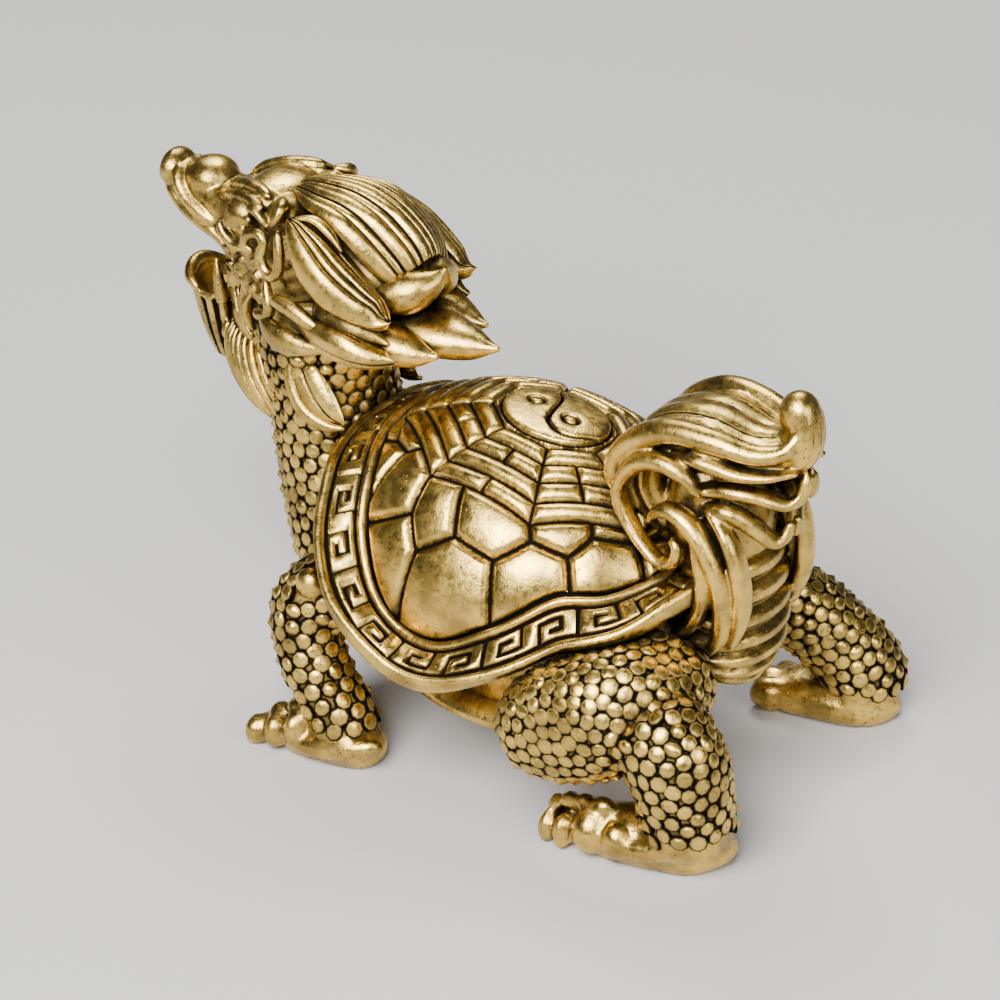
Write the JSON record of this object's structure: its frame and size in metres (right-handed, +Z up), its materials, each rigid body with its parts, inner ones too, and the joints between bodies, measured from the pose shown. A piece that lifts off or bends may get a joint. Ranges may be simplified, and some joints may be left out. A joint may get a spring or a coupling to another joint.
{
  "type": "dragon turtle figure",
  "caption": "Small cast brass dragon turtle: open-mouthed dragon head with a swept mane, a domed shell with trigram bars and a taiji boss, scaled legs and a curled plume tail.",
  "frame": {"origin": "centre of the footprint's bounding box, on the surface that the four feet stand on", "axes": "+X from the head towards the tail, +Y towards the figure's right flank, +Z up from the feet"},
  "size_m": [0.0548, 0.0324, 0.0378],
  "materials": {
    "aged_brass": "cast and tumbled, bright on raised forms, dark brown patina in the grooves"
  },
  "bodies": {
    "root": {"dragon_turtle": "aged_brass"}
  },
  "joints": []
}
